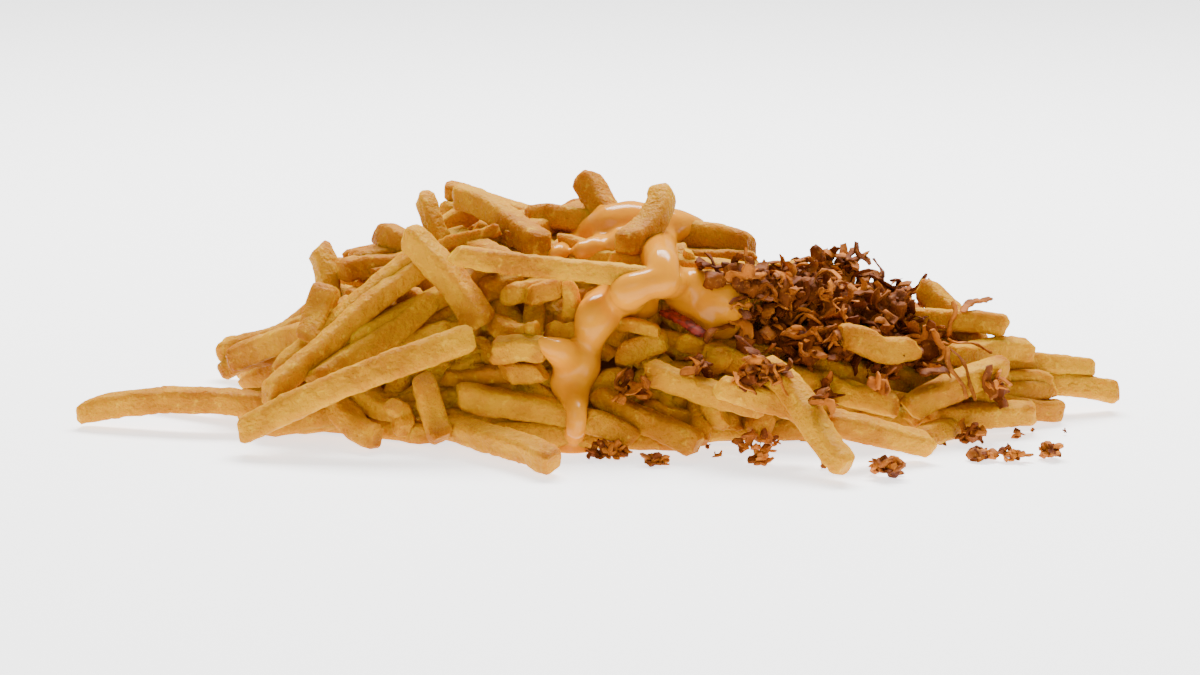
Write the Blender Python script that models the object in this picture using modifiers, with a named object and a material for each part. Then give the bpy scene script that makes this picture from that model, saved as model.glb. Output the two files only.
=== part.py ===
"""A heap of cheese fries: potato fries piled on a table, with warm cheese sauce run over the
middle of the pile and crisp fried onions strewn over its right flank.

Sizes in this file are millimetres and turn into metres where a mesh is made. X runs to the
right, Y away from the viewer and Z up, and the origin lies on the table under the heap.

The heap was laid out as it looks from the front. LAYOUT rows give each fry's two ends across
and up as the eye sees them, and the rule in lay() brings the fry down along the line of sight
until it rests on what is already there: the packed middle, the table or the fries before it.
"""

import math
import random
from collections import namedtuple

import bmesh
import bpy
import numpy as np
from mathutils import Matrix, Vector

METRE = 0.001

# The eye that the layout was made for
EYE_DISTANCE = 950.0
EYE_ELEVATION = math.radians(12.0)
EYE_AIM_HEIGHT = 22.3
EYE_AIM_UP = 21.7

# The packed middle of the heap
CORE_HALF_WIDTH = 114.0
CORE_FRONT_DEPTH = 41.0
CORE_BACK_DEPTH = 62.0
CORE_HEIGHT = 49.0
CORE_CENTRE_ACROSS = 3.0
CORE_RINGS = 9
CORE_SEGMENTS = 28

# The front of the heap ends at this plane behind the origin
BACK_LIMIT = 8.0

# How fries are cut and how they meet
FRY_SIDE_SHARE = 0.9
FRY_RINGS = 4
FRY_SINK = 0.8
SAUCE_SINK = 0.62
ONION_SINK = 0.75

# Fries that fell behind the ridge
BACK_FRIES = 34
BACK_TRIES = 400
BACK_FRY_THICK = (7.0, 8.6)
BACK_FRY_LENGTH = (42.0, 70.0)

# Toppings
FIT_GAP = 0.7
MERGE = 0.001
SAUCE_VOXEL = 1.9
SAUCE_TRIANGLES = 1150
ONION_BALLS = 150
ONION_VOXEL = 3.2
ONION_TRIANGLES = 520
ONION_STRIPS = 20

Strip = namedtuple("Strip", "x0 up0 x1 up1 thick bow near", defaults=(None,))
View = namedtuple("View", "right up towards aim aim_up distance")


def view_from(turn, elevation, aim_height, aim_up, distance):
    """An eye on the heap: a turn of 0 is from the front, and a half turn from behind."""
    across = np.array([math.cos(turn), math.sin(turn), 0.0])
    level = np.array([math.sin(turn), -math.cos(turn), 0.0])
    towards = level * math.cos(elevation) + np.array([0.0, 0.0, math.sin(elevation)])
    up = np.cross(towards, across)
    return View(across, up, towards, np.array([0.0, 0.0, aim_height]), aim_up, distance)


FRONT = view_from(0.0, EYE_ELEVATION, EYE_AIM_HEIGHT, EYE_AIM_UP, EYE_DISTANCE)
ABOVE = view_from(0.0, math.radians(90), 0.0, 0.0, 1e6)


def seen(view, points):
    """Points in space as columns (across, up, near) for that eye."""
    offset = points - view.aim
    near = offset @ view.towards
    shrink = 1 - near / view.distance
    across = offset @ view.right / shrink
    up = offset @ view.up / shrink + view.aim_up
    return np.stack([across, up, near], axis=1)


def placed(view, across, up, near):
    """The points that show at (across, up) and lie so much nearer than the aim."""
    shrink = 1 - near / view.distance
    sideways = np.outer(across * shrink, view.right)
    upwards = np.outer((up - view.aim_up) * shrink, view.up)
    return view.aim + sideways + upwards + np.outer(near, view.towards)


def core_height(across, depth):
    half_depth = CORE_FRONT_DEPTH if depth < 0 else CORE_BACK_DEPTH
    share = math.hypot((across - CORE_CENTRE_ACROSS) / CORE_HALF_WIDTH, depth / half_depth)
    return CORE_HEIGHT * max(0.0, 1 - share**2)


class Pile:
    """What has been laid so far, as balls strung along each piece."""

    def __init__(self):
        self.centres = np.zeros((0, 3))
        self.radii = np.zeros(0)

    def add(self, centres, radii):
        self.centres = np.vstack([self.centres, centres])
        self.radii = np.concatenate([self.radii, np.broadcast_to(radii, len(centres))])


def floor_near(view, up, radius):
    """How near a ball that shows at that height must be, to stay out of the table."""
    rise = up - view.aim_up
    lift = view.up[2]
    return (radius - view.aim[2] - rise * lift) / (view.towards[2] - rise * lift / view.distance)


def rest(pile, view, across, up, radii, sink):
    """How near each ball must be, to touch what lies behind it along the line of sight."""
    there = seen(view, pile.centres)
    needed = floor_near(view, up, radii)
    if view is FRONT:
        limit = np.array([[0.0, BACK_LIMIT, EYE_AIM_HEIGHT]])
        needed = np.maximum(needed, seen(view, limit)[0, 2])
    for k in range(len(across)):
        reach = sink * (radii[k] + pile.radii)
        aside = np.hypot(there[:, 0] - across[k], there[:, 1] - up[k])
        under = aside < reach
        if under.any():
            touch = there[under, 2] + np.sqrt(reach[under] ** 2 - aside[under] ** 2)
            needed[k] = max(needed[k], touch.max())
    return needed


def lay(pile, view, strip, sink=FRY_SINK, steepest=1.6, samples=14):
    """Brings a stiff strip down along the line of sight and returns its centre line."""
    share = np.linspace(0, 1, samples)
    run = np.array([strip.x1 - strip.x0, strip.up1 - strip.up0])
    length = np.hypot(*run)
    bow = 4 * share * (1 - share) * strip.bow
    across = strip.x0 + run[0] * share - bow * run[1] / length
    up = strip.up0 + run[1] * share + bow * abs(run[0]) / length
    if strip.near is not None:
        near = strip.near[0] + (strip.near[1] - strip.near[0]) * share
        return placed(view, across, up, near)
    needed = rest(pile, view, across, up, np.full(samples, strip.thick / 2), sink)
    slopes = np.linspace(-steepest, steepest, 41)
    middle = (share - 0.5) * length
    heights = np.array([(needed - slope * middle).max() for slope in slopes])
    best = int(np.argmin(heights + 2.5 * np.abs(slopes)))
    return placed(view, across, up, heights[best] + slopes[best] * middle)


# Fries of the front, from the back of the heap to the front: each row is where the left and
# right ends show (across, up), the thickness, how far the middle bows up, and for the few that
# stand free above the ridge how near their two ends are.
LAYOUT = [
    # Standing free behind the ridge
    Strip(-20.5, 55.3, 1.0, 54.8, 8.2, 0.3, (-2, -2)),
    Strip(-4.4, 66.5, 6.0, 49.0, 8.8, 0.0, (-5, 2)),
    Strip(14.0, 49.6, 42.5, 46.8, 9.4, 0.3, (-1, -1)),
    Strip(22.0, 44.6, 42.5, 42.8, 6.6, 0.0, (2, 2)),
    Strip(40.0, 38.5, 58.0, 40.8, 5.6, 0.0, (2, 0)),
    Strip(-49.2, 61.3, -38.5, 42.0, 6.6, -0.8, (-4, 2)),
    Strip(-60.5, 51.0, -44.0, 38.0, 8.8, 0.0, (-5, 2)),
    Strip(-69.5, 43.0, -52.0, 46.5, 6.6, 0.0, (0, 0)),
    Strip(-79.0, 47.0, -73.0, 26.0, 7.6, 0.0, (-3, 3)),
    Strip(91.0, 35.3, 106.0, 20.0, 8.0, 0.5, (-4, 4)),
    # Upper left
    Strip(-27.5, 47.5, -12.0, 43.5, 7.5, 0.0),
    Strip(-31.0, 48.5, -29.0, 43.0, 4.2, 0.0),
    Strip(-40.5, 61.5, -16.0, 47.3, 8.8, 0.0),
    Strip(-71.0, 33.5, -51.0, 32.0, 8.0, 0.0),
    Strip(-72.5, 40.2, -51.0, 43.0, 8.0, -0.8),
    Strip(-73.0, 26.0, -57.0, 29.5, 6.2, 0.0),
    # Left flank
    Strip(-106.0, 18.0, -70.0, 30.5, 7.0, 0.4),
    Strip(-105.5, 12.0, -82.0, 17.5, 6.6, 0.5),
    Strip(-102.8, 15.8, -72.0, 23.0, 8.3, 0.5),
    Strip(-91.0, 12.3, -70.0, 16.0, 5.6, 0.0),
    Strip(-82.0, 20.0, -76.0, 36.0, 9.0, 0.5),
    Strip(-122.0, 5.6, -82.0, 6.6, 6.6, 0.0),
    Strip(-145.3, 0.8, -92.0, 2.6, 8.0, 1.2),
    Strip(-46.0, 46.2, -28.0, 52.0, 4.4, 0.0),
    Strip(-93.5, 5.5, -49.0, 42.0, 7.4, 0.0),
    # Middle
    Strip(-33.5, 34.5, -21.0, 37.7, 7.2, 0.0),
    Strip(-26.5, 33.5, -14.0, 35.5, 7.2, 0.0),
    Strip(-20.3, 33.3, -11.0, 36.0, 7.0, 0.0),
    Strip(-9.3, 36.0, -8.3, 25.0, 5.0, 0.0),
    Strip(-5.0, 43.3, 9.0, 42.5, 6.2, 0.0),
    Strip(-15.0, 23.8, -4.0, 24.0, 6.5, 0.0),
    Strip(-29.0, 26.3, -17.5, 23.8, 7.0, 0.5),
    Strip(-44.0, 11.0, -24.0, 12.0, 5.6, 0.0),
    Strip(-40.0, 5.5, -6.0, -0.7, 9.0, 0.3),
    Strip(-27.0, 12.0, -16.0, 12.3, 7.2, 0.0),
    Strip(-30.3, 18.0, -15.0, 17.5, 8.2, 0.0),
    Strip(-57.3, 21.2, -42.0, 24.2, 6.0, 0.3),
    Strip(-80.0, 9.0, -47.5, 32.3, 8.4, 0.3),
    Strip(-53.7, 50.5, -33.0, 25.0, 9.5, 0.8),
    Strip(-41.0, 45.0, 15.0, 38.5, 7.4, -2.0),
    # Front of the left half
    Strip(-70.0, 7.0, -54.0, 1.0, 7.2, 0.0),
    Strip(-74.5, 3.3, -62.3, -6.3, 8.4, 0.0),
    Strip(-58.0, 3.0, -54.8, -4.5, 7.2, 0.0),
    Strip(-43.0, -2.5, -12.8, -13.5, 8.5, 2.0),
    Strip(-50.0, 10.0, -44.3, -6.8, 8.2, -0.6),
    Strip(-101.0, -5.0, -35.8, 21.8, 9.5, 0.8),
    # Middle right, round the sauce
    Strip(21.6, 46.0, 23.4, 39.0, 6.2, 0.0),
    Strip(24.8, 46.0, 28.4, 37.5, 3.8, 0.0),
    Strip(28.5, 38.3, 42.0, 37.3, 5.8, 0.3),
    Strip(37.0, 31.3, 56.0, 30.8, 7.2, 0.0),
    Strip(17.3, 62.5, 7.0, 48.0, 8.8, 0.0, (-2, 6)),
    Strip(23.0, 21.0, 31.0, 18.5, 7.0, 0.0),
    Strip(28.0, 16.5, 35.0, 17.0, 7.4, 0.0),
    Strip(6.0, 18.0, 18.7, 20.5, 8.2, 0.0),
    Strip(1.5, 25.5, 16.5, 23.3, 4.4, 0.5),
    Strip(-5.0, -1.5, 9.5, -7.0, 8.4, 0.0),
    Strip(12.5, 3.0, 40.0, -2.0, 6.2, 0.0),
    Strip(29.5, 3.6, 35.5, -0.8, 6.8, 0.0),
    Strip(43.0, 0.0, 47.3, -5.3, 8.2, 0.0),
    Strip(-0.5, 6.3, 27.5, -8.8, 8.2, 0.5),
    Strip(13.5, 12.5, 46.0, 2.5, 8.2, 0.0),
    Strip(33.0, 8.0, 61.0, -2.3, 8.0, 0.0),
    # Right flank
    Strip(58.0, 15.7, 78.0, 12.0, 7.6, 0.0),
    Strip(98.0, 17.5, 137.8, 13.1, 6.7, 0.0),
    Strip(104.0, 10.3, 144.7, 6.3, 8.0, 0.0),
    Strip(86.0, 27.2, 113.7, 24.6, 7.6, 0.3),
    Strip(98.0, 17.0, 120.5, 17.8, 7.2, 0.0),
    Strip(104.0, 9.7, 126.5, 8.6, 7.2, 0.0),
    Strip(104.0, 4.5, 129.5, 1.6, 7.2, 0.0),
    Strip(95.0, 9.0, 112.0, 6.0, 7.6, 0.0),
    Strip(86.0, -2.0, 99.0, 0.2, 6.2, 0.0),
    Strip(94.0, -0.4, 122.0, 0.6, 8.0, -0.2),
    Strip(86.0, 1.3, 113.5, 13.0, 8.6, 1.8),
    Strip(62.0, 10.0, 82.3, 2.3, 7.9, 0.0),
    Strip(64.0, -1.8, 92.0, -8.6, 8.1, 0.3),
    Strip(67.5, 22.3, 87.0, 19.2, 8.7, 0.0),
    Strip(45.0, 14.2, 69.0, -14.7, 8.8, 1.3),
]

# Sauce as it ran, each flow a row of (across, up, radius); flows meet where their ends are equal
SAUCE_FLOWS = [
    [(-13, 45, 1.6), (-8, 47, 2.6), (-3, 50, 3.8), (3, 52.5, 5.0), (9, 53.5, 5.2), (15, 52, 5.0)],
    [(0.8, 57, 1.8), (1.5, 52.5, 4.0), (4, 48, 4.2), (16, 46.5, 4.6)],
    [(-5, 46, 2.2), (2, 47, 3.4), (9, 47, 4.4), (16, 46.5, 4.6)],
    [(15, 52, 5.0), (21, 53, 3.8), (27.5, 53.4, 1.6)],
    [(15, 52, 5.0), (16, 46.5, 4.6)],
    [(16, 46.5, 4.6), (17.5, 42, 3.6), (18, 37.5, 3.4)],
    [(18, 37.5, 3.4), (14, 37, 3.0), (8, 34.5, 4.0)],
    [(8, 34.5, 4.0), (3, 31, 4.8), (-1, 27.5, 4.8), (-2.8, 22.5, 3.4), (-3.2, 17, 2.8), (-6, 14, 4.8)],
    [(8, 34.5, 4.0), (9, 31, 3.4), (13, 30.5, 2.8)],
    [(18, 37.5, 3.4), (25, 35, 4.4), (30, 32, 5.4)],
    [(30, 32, 5.4), (33, 27, 5.4), (33, 23.5, 3.0)],
    [(30, 32, 5.4), (36, 31, 4.8)],
    [(30, 32, 5.4), (26, 30, 4.0), (22, 32.5, 3.0)],
    [(-16, 20, 1.6), (-11, 17.5, 3.2), (-6, 14, 4.8)],
    [(-6, 14, 4.8), (-8.2, 9, 4.6), (-7.4, 5.6, 3.4), (-6.4, 1.5, 2.3), (-6.6, -3, 2.2), (-7, -5.5, 2.6)],
]
PUDDLE_CENTRE = (-7.4, -39.0)
PUDDLE_HALF = (6.6, 7.0, 2.6)

# The edge of the onion heap as seen, (across, up)
ONION_EDGE = [
    (29, 41), (38, 40), (46, 41), (52, 40), (58, 43), (64, 46.5), (69, 46), (73, 41), (79, 39.5),
    (85, 33), (92, 28), (96, 22), (95, 16), (89, 12), (80, 14), (68, 17), (60, 15), (50, 10), (42, 8.5),
    (38, 14), (40, 24), (36, 30),
]

# Loose onion on the table, (across, up, half width, half depth, half height)
CRUMBS = [
    (3.0, -9.6, 8.6, 3.6, 2.6),
    (15.2, -12.6, 3.6, 2.6, 1.7),
    (43.4, -7.2, 6.0, 4.6, 3.6),
    (45.0, -12.2, 3.4, 2.6, 1.8),
    (80.6, -14.6, 6.8, 4.4, 3.0),
    (103.6, -5.0, 4.5, 4.2, 3.4),
    (107.8, -11.2, 5.0, 2.4, 1.5),
    (115.6, -10.6, 3.6, 2.8, 2.4),
    (127.0, -10.4, 6.0, 3.2, 2.0),
]


def core_points(step=3.0):
    columns = np.arange(-CORE_HALF_WIDTH, CORE_HALF_WIDTH, step) + CORE_CENTRE_ACROSS
    rows = np.arange(-CORE_FRONT_DEPTH, CORE_BACK_DEPTH, step)
    heights = [(x, y, core_height(x, y)) for x in columns for y in rows]
    return np.array([point for point in heights if point[2] > 3.0])


def lay_front(pile):
    fries = []
    for strip in LAYOUT:
        line = lay(pile, FRONT, strip)
        thick = strip.thick * (1 - seen(FRONT, line)[:, 2].mean() / EYE_DISTANCE)
        pile.add(line, thick / 2)
        fries.append((line, thick))
    return fries


def lay_back(pile, draw, count):
    """Lets fries fall at random on the far side, none of them showing over the front."""
    skyline = seen(FRONT, pile.centres)
    tops = skyline[:, 1] + pile.radii
    fries = []
    for _ in range(BACK_TRIES):
        if len(fries) == count:
            break
        across = draw.uniform(-104, 108)
        reach = math.sqrt(max(0.05, 1 - (across / 118) ** 2))
        depth = 6 + draw.uniform(0, 66) * reach
        angle = draw.gauss(0, 0.9)
        thick = draw.uniform(*BACK_FRY_THICK)
        half = draw.uniform(*BACK_FRY_LENGTH) / 2
        spread = half * math.cos(angle), half * math.sin(angle)
        strip = Strip(
            across - spread[0], depth - spread[1], across + spread[0], depth + spread[1], thick, 0.0
        )
        if min(strip.up0, strip.up1) < 2 or max(strip.up0, strip.up1) > 84 * reach:
            continue
        line = lay(pile, ABOVE, strip, steepest=0.75)
        shown = seen(FRONT, line)
        covers = [tops[np.abs(skyline[:, 0] - x) < 5].max(initial=0) for x in shown[:, 0]]
        if (shown[:, 1] + thick / 2 > np.array(covers) + 1.0).any():
            continue
        pile.add(line, thick / 2)
        fries.append((line, thick))
    return fries


def object_of(name, mesh):
    data = bpy.data.meshes.new(name)
    bmesh.ops.recalc_face_normals(mesh, faces=mesh.faces)
    mesh.to_mesh(data)
    mesh.free()
    made = bpy.data.objects.new(name, data)
    bpy.context.scene.collection.objects.link(made)
    return made


def make_core():
    """A flat-bottomed mound: rings of points up the dome, closed below by one face."""
    mesh = bmesh.new()
    rings = []
    for ring in range(CORE_RINGS):
        share = 1 - ring / CORE_RINGS
        rings.append([])
        for k in range(CORE_SEGMENTS):
            angle = math.tau * k / CORE_SEGMENTS
            x = CORE_CENTRE_ACROSS + CORE_HALF_WIDTH * share * math.cos(angle)
            half_depth = CORE_FRONT_DEPTH if math.sin(angle) < 0 else CORE_BACK_DEPTH
            y = half_depth * share * math.sin(angle)
            rings[-1].append(mesh.verts.new(Vector((x, y, core_height(x, y))) * METRE))
    top = mesh.verts.new(Vector((CORE_CENTRE_ACROSS, 0, CORE_HEIGHT)) * METRE)
    for k in range(CORE_SEGMENTS):
        after = (k + 1) % CORE_SEGMENTS
        for low, high in zip(rings, rings[1:]):
            mesh.faces.new([low[k], low[after], high[after], high[k]])
        mesh.faces.new([rings[-1][k], rings[-1][after], top])
    mesh.faces.new(reversed(rings[0]))
    return object_of("core", mesh)


def frame_at(line, share):
    """A centre line's point at a share of it, its direction and its level and raised axes."""
    at = share * (len(line) - 1)
    first = min(int(at), len(line) - 2)
    centre = line[first] + (line[first + 1] - line[first]) * (at - first)
    along = line[min(first + 2, len(line) - 1)] - line[max(first - 1, 0)]
    along = along / np.linalg.norm(along)
    level = np.cross(along, [0.0, 0.02, 1.0])
    level = level / np.linalg.norm(level)
    return centre, along, level, np.cross(level, along)


def make_stick(line, width, height, draw, rings=FRY_RINGS, uneven=0.07, slant=0.35):
    """A square-cut stick along a centre line, with uneven thickness and slanted ends."""
    mesh = bmesh.new()
    roll = math.radians(45) + draw.uniform(-0.3, 0.3)
    slants = [[draw.uniform(-slant, slant) for _ in range(2)] for _ in range(2)]
    loops = []
    for ring in range(rings):
        share = ring / (rings - 1)
        centre, along, level, raised = frame_at(line, share)
        waist = draw.uniform(1 - uneven, 1 + uneven)
        lean = slants[ring > 0] if ring in (0, rings - 1) else (0.0, 0.0)
        loops.append([])
        for k in range(4):
            angle = roll + math.tau * k / 4
            aside = math.cos(angle) * width / math.sqrt(2) * waist
            above = math.sin(angle) * height / math.sqrt(2) * waist
            point = centre + level * aside + raised * above + along * (lean[0] * aside + lean[1] * above)
            point[2] = max(point[2], 0.0)
            loops[-1].append(mesh.verts.new(Vector(point) * METRE))
    for low, high in zip(loops, loops[1:]):
        for k in range(4):
            mesh.faces.new([low[k], low[(k + 1) % 4], high[(k + 1) % 4], high[k]])
    mesh.faces.new(reversed(loops[0]))
    mesh.faces.new(loops[-1])
    bmesh.ops.triangulate(mesh, faces=mesh.faces)
    return object_of("stick", mesh)


def baked(thing):
    """Puts an object's evaluated mesh in place of its own and takes the modifiers off."""
    bpy.context.view_layer.update()
    graph = bpy.context.evaluated_depsgraph_get()
    mesh = bpy.data.meshes.new_from_object(thing.evaluated_get(graph))
    thing.modifiers.clear()
    thing.data = mesh
    return thing


def join_all(name, things, solver="MANIFOLD"):
    """One Boolean union of the first thing with all the others, which are then removed."""
    first, others = things[0], things[1:]
    group = bpy.data.collections.new(name)
    for other in others:
        group.objects.link(other)
    union = first.modifiers.new("join", "BOOLEAN")
    union.operation = "UNION"
    union.operand_type = "COLLECTION"
    union.collection = group
    union.solver = solver
    baked(first)
    for other in others:
        bpy.data.objects.remove(other)
    bpy.data.collections.remove(group)
    first.name = name
    return first


def make_room(thing, other, solver="MANIFOLD"):
    """Cuts a thing back by copies of the other that are grown by the gap between pieces.

    The less grown copies take what the folds of the first one leave in tight corners.
    """
    for gap in (FIT_GAP, FIT_GAP / 2, FIT_GAP / 7):
        cutter = bpy.data.objects.new("grown", other.data.copy())
        bpy.context.scene.collection.objects.link(cutter)
        grow = cutter.modifiers.new("grow", "DISPLACE")
        grow.mid_level = 0.0
        grow.strength = gap * METRE
        baked(cutter)
        difference = thing.modifiers.new("cut", "BOOLEAN")
        difference.operation = "DIFFERENCE"
        difference.object = cutter
        difference.solver = solver
        baked(thing)
        bpy.data.objects.remove(cutter)


def keep_largest(thing):
    """Drops loose scraps and the walls of sealed hollows."""
    mesh = bmesh.new()
    mesh.from_mesh(thing.data)
    bmesh.ops.remove_doubles(mesh, verts=mesh.verts, dist=MERGE * METRE)
    bmesh.ops.dissolve_degenerate(mesh, edges=mesh.edges, dist=MERGE * METRE)
    left = set(mesh.faces)
    islands = []
    while left:
        island = [left.pop()]
        for face in island:
            near = {other for edge in face.edges for other in edge.link_faces} & left
            left -= near
            island.extend(near)
        islands.append(island)
    islands.sort(key=len)
    dropped = [face for island in islands[:-1] for face in island]
    bmesh.ops.delete(mesh, geom=dropped, context="FACES")
    mesh.to_mesh(thing.data)
    mesh.free()


def make_blob(name, centres, radii, voxel, triangles, smoothing):
    """One smooth body round all the balls, with about that many triangles."""
    mesh = bmesh.new()
    for centre, radius in zip(centres, radii):
        place = Matrix.Translation(Vector(centre) * METRE)
        bmesh.ops.create_icosphere(mesh, subdivisions=2, radius=radius * METRE, matrix=place)
    blob = object_of(name, mesh)
    remesh = blob.modifiers.new("fuse", "REMESH")
    remesh.mode = "VOXEL"
    remesh.voxel_size = voxel * METRE
    smooth = blob.modifiers.new("smooth", "SMOOTH")
    smooth.factor = 0.5
    smooth.iterations = smoothing
    baked(blob)
    thin = blob.modifiers.new("thin", "DECIMATE")
    count = sum(len(face.vertices) - 2 for face in blob.data.polygons)
    thin.ratio = min(1.0, triangles / count)
    baked(blob)
    for vertex in blob.data.vertices:
        vertex.co.z = max(vertex.co.z, 0.0)
    keep_largest(blob)
    return blob


def run_flow(pile, flow, step=1.6):
    """The balls of one flow of sauce, each lying on what is under it."""
    rows = np.array(flow, float)
    lengths = np.concatenate([[0], np.cumsum(np.hypot(*np.diff(rows[:, :2], axis=0).T))])
    at = np.linspace(0, lengths[-1], max(2, int(lengths[-1] / step)))
    across, up, radii = (np.interp(at, lengths, rows[:, k]) for k in range(3))
    near = rest(pile, FRONT, across, up, radii, SAUCE_SINK)
    spread = np.array([near[max(0, k - 2) : k + 3].mean() for k in range(len(near))])
    near[1:-1] = np.maximum(near[1:-1] - 0.35 * radii[1:-1], spread[1:-1])
    line = placed(FRONT, across, up, near)
    gaps = np.concatenate([[0], np.cumsum(np.linalg.norm(np.diff(line, axis=0), axis=1))])
    even = np.linspace(0, gaps[-1], max(2, int(gaps[-1] / step)))
    spots = np.stack([np.interp(even, gaps, line[:, k]) for k in range(3)], axis=1)
    return spots, np.interp(even, gaps, radii)


def sauce_balls(pile):
    runs = [run_flow(pile, flow) for flow in SAUCE_FLOWS]
    return np.vstack([run[0] for run in runs]), np.concatenate([run[1] for run in runs])


def make_puddle():
    mesh = bmesh.new()
    place = Matrix.Translation(Vector((*PUDDLE_CENTRE, 0.4)) * METRE)
    size = Matrix.Diagonal((*[half * METRE for half in PUDDLE_HALF], 1))
    bmesh.ops.create_uvsphere(mesh, u_segments=16, v_segments=8, radius=1.0, matrix=place @ size)
    return object_of("puddle", mesh)


def make_sauce(name, centres, radii):
    blob = make_blob(name, centres, radii, SAUCE_VOXEL, SAUCE_TRIANGLES, 3)
    return join_all(name, [blob, make_puddle()])


def inside(edge, across, up):
    """Whether a seen point lies inside that outline."""
    crossed = False
    for (x0, up0), (x1, up1) in zip(edge, edge[1:] + edge[:1]):
        if (up0 > up) != (up1 > up) and across < x0 + (up - up0) * (x1 - x0) / (up1 - up0):
            crossed = not crossed
    return crossed


def onion_balls(pile, draw):
    """Balls at random over the right flank, where they show inside the onions' outline."""
    centres, radii = [], []
    while len(centres) < ONION_BALLS:
        across, depth = draw.uniform(26, 100), draw.uniform(-42, 26)
        radius = draw.uniform(3.6, 5.2)
        spot = np.array([across]), np.array([depth])
        near = rest(pile, ABOVE, *spot, np.array([radius]), ONION_SINK)
        centre = placed(ABOVE, *spot, near)[0]
        shown = seen(FRONT, centre[None])[0]
        if inside(ONION_EDGE, shown[0], shown[1]):
            centres.append(centre)
            radii.append(radius)
    return np.array(centres), np.array(radii)


def onion_lines(pile, draw):
    """Centre lines of the strips that stick out of the onion heap."""
    lines = []
    while len(lines) < ONION_STRIPS:
        across, up = draw.uniform(30, 95), draw.uniform(10, 47)
        angle, half = draw.uniform(0, math.pi), draw.uniform(5, 8)
        spread = half * math.cos(angle), half * math.sin(angle)
        if inside(ONION_EDGE, across, up):
            strip = Strip(
                across - spread[0], up - spread[1], across + spread[0], up + spread[1], 3.2, 1.0
            )
            lines.append(lay(pile, FRONT, strip, sink=0.7))
    return lines


def make_onions(name, centres, radii, lines, draw):
    blob = make_blob(name, centres, radii, ONION_VOXEL, ONION_TRIANGLES, 1)
    strips = [make_stick(line, 4.4, 2.0, draw, rings=3, uneven=0.1) for line in lines]
    return join_all(name, [blob] + strips)


def make_red_strip(name, line, draw):
    strip = make_stick(line, 4.2, 2.2, draw, rings=5, uneven=0.12)
    strip.name = name
    return strip


def make_crumb(name, across, up, halves, draw):
    """A craggy lump of onion on the table."""
    mesh = bmesh.new()
    bmesh.ops.create_icosphere(mesh, subdivisions=2 if halves[0] > 5 else 1, radius=1.0)
    near = floor_near(FRONT, up, halves[2])
    centre = placed(FRONT, np.array([across]), np.array([up]), np.array([near]))[0]
    for vertex in mesh.verts:
        crag = draw.uniform(0.72, 1.0)
        x, y, z = (vertex.co[k] * crag * halves[k] for k in range(3))
        vertex.co = Vector((centre[0] + x, centre[1] + y, max(0.3, centre[2] + z))) * METRE
    return object_of(name, mesh)


def paint(thing, name, colour, roughness, coat=0.0):
    material = bpy.data.materials.new(name)
    material.use_nodes = True
    shader = material.node_tree.nodes["Principled BSDF"]
    shader.inputs["Base Color"].default_value = (*colour, 1)
    shader.inputs["Roughness"].default_value = roughness
    shader.inputs["Coat Weight"].default_value = coat
    thing.data.materials.clear()
    thing.data.materials.append(material)


def main():
    for thing in list(bpy.data.objects):
        bpy.data.objects.remove(thing)
    draw = random.Random(12)
    pile = Pile()
    pile.add(core_points() - np.array([0, 0, 4.4]), 3.0)
    fries = lay_front(pile)
    fries += lay_back(pile, random.Random(11), BACK_FRIES)
    sticks = [
        make_stick(line, thick * FRY_SIDE_SHARE, thick * FRY_SIDE_SHARE, draw) for line, thick in fries
    ]
    heap = join_all("fries", [make_core()] + sticks)

    flows, flow_radii = sauce_balls(pile)
    pile.add(flows, flow_radii)
    onions, onion_radii = onion_balls(pile, random.Random(13))
    pile.add(onions, onion_radii)
    strips = onion_lines(pile, random.Random(14))
    red_line = lay(pile, FRONT, Strip(17.6, 29.0, 28.8, 22.3, 4.0, 0.6), sink=0.9)

    sauce = make_sauce("cheese_sauce", flows, flow_radii)
    topping = make_onions("fried_onions", onions, onion_radii, strips, draw)
    red = make_red_strip("red_onion_strip", red_line, draw)
    crumbs = []
    for k, (across, up, *halves) in enumerate(CRUMBS):
        crumbs.append(make_crumb(f"onion_crumb_{k + 1}", across, up, halves, draw))
    make_room(topping, red)
    make_room(sauce, red)
    make_room(sauce, topping)
    for other in [sauce, topping, red] + crumbs:
        make_room(heap, other)
    for thing in (heap, sauce, topping):
        keep_largest(thing)

    paint(heap, "potato", (0.86, 0.56, 0.13), 0.55)
    paint(sauce, "cheese", (0.93, 0.47, 0.04), 0.22, 0.4)
    paint(topping, "fried_onion", (0.36, 0.13, 0.035), 0.6)
    paint(red, "red_onion", (0.33, 0.05, 0.02), 0.45)
    for crumb in crumbs:
        paint(crumb, "onion_crumb", (0.36, 0.13, 0.035), 0.6)


main()
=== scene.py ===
"""A heap of cheese fries on a white table: potato fries, warm cheese sauce run over the middle
of the pile, and crisp fried onions strewn over its right flank and in front of it.

Layout numbers are millimetres and turn into metres where a mesh is made.
"""

import math
import random
from collections import namedtuple

import bmesh
import bpy
import numpy as np
from mathutils import Matrix, Vector


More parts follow.
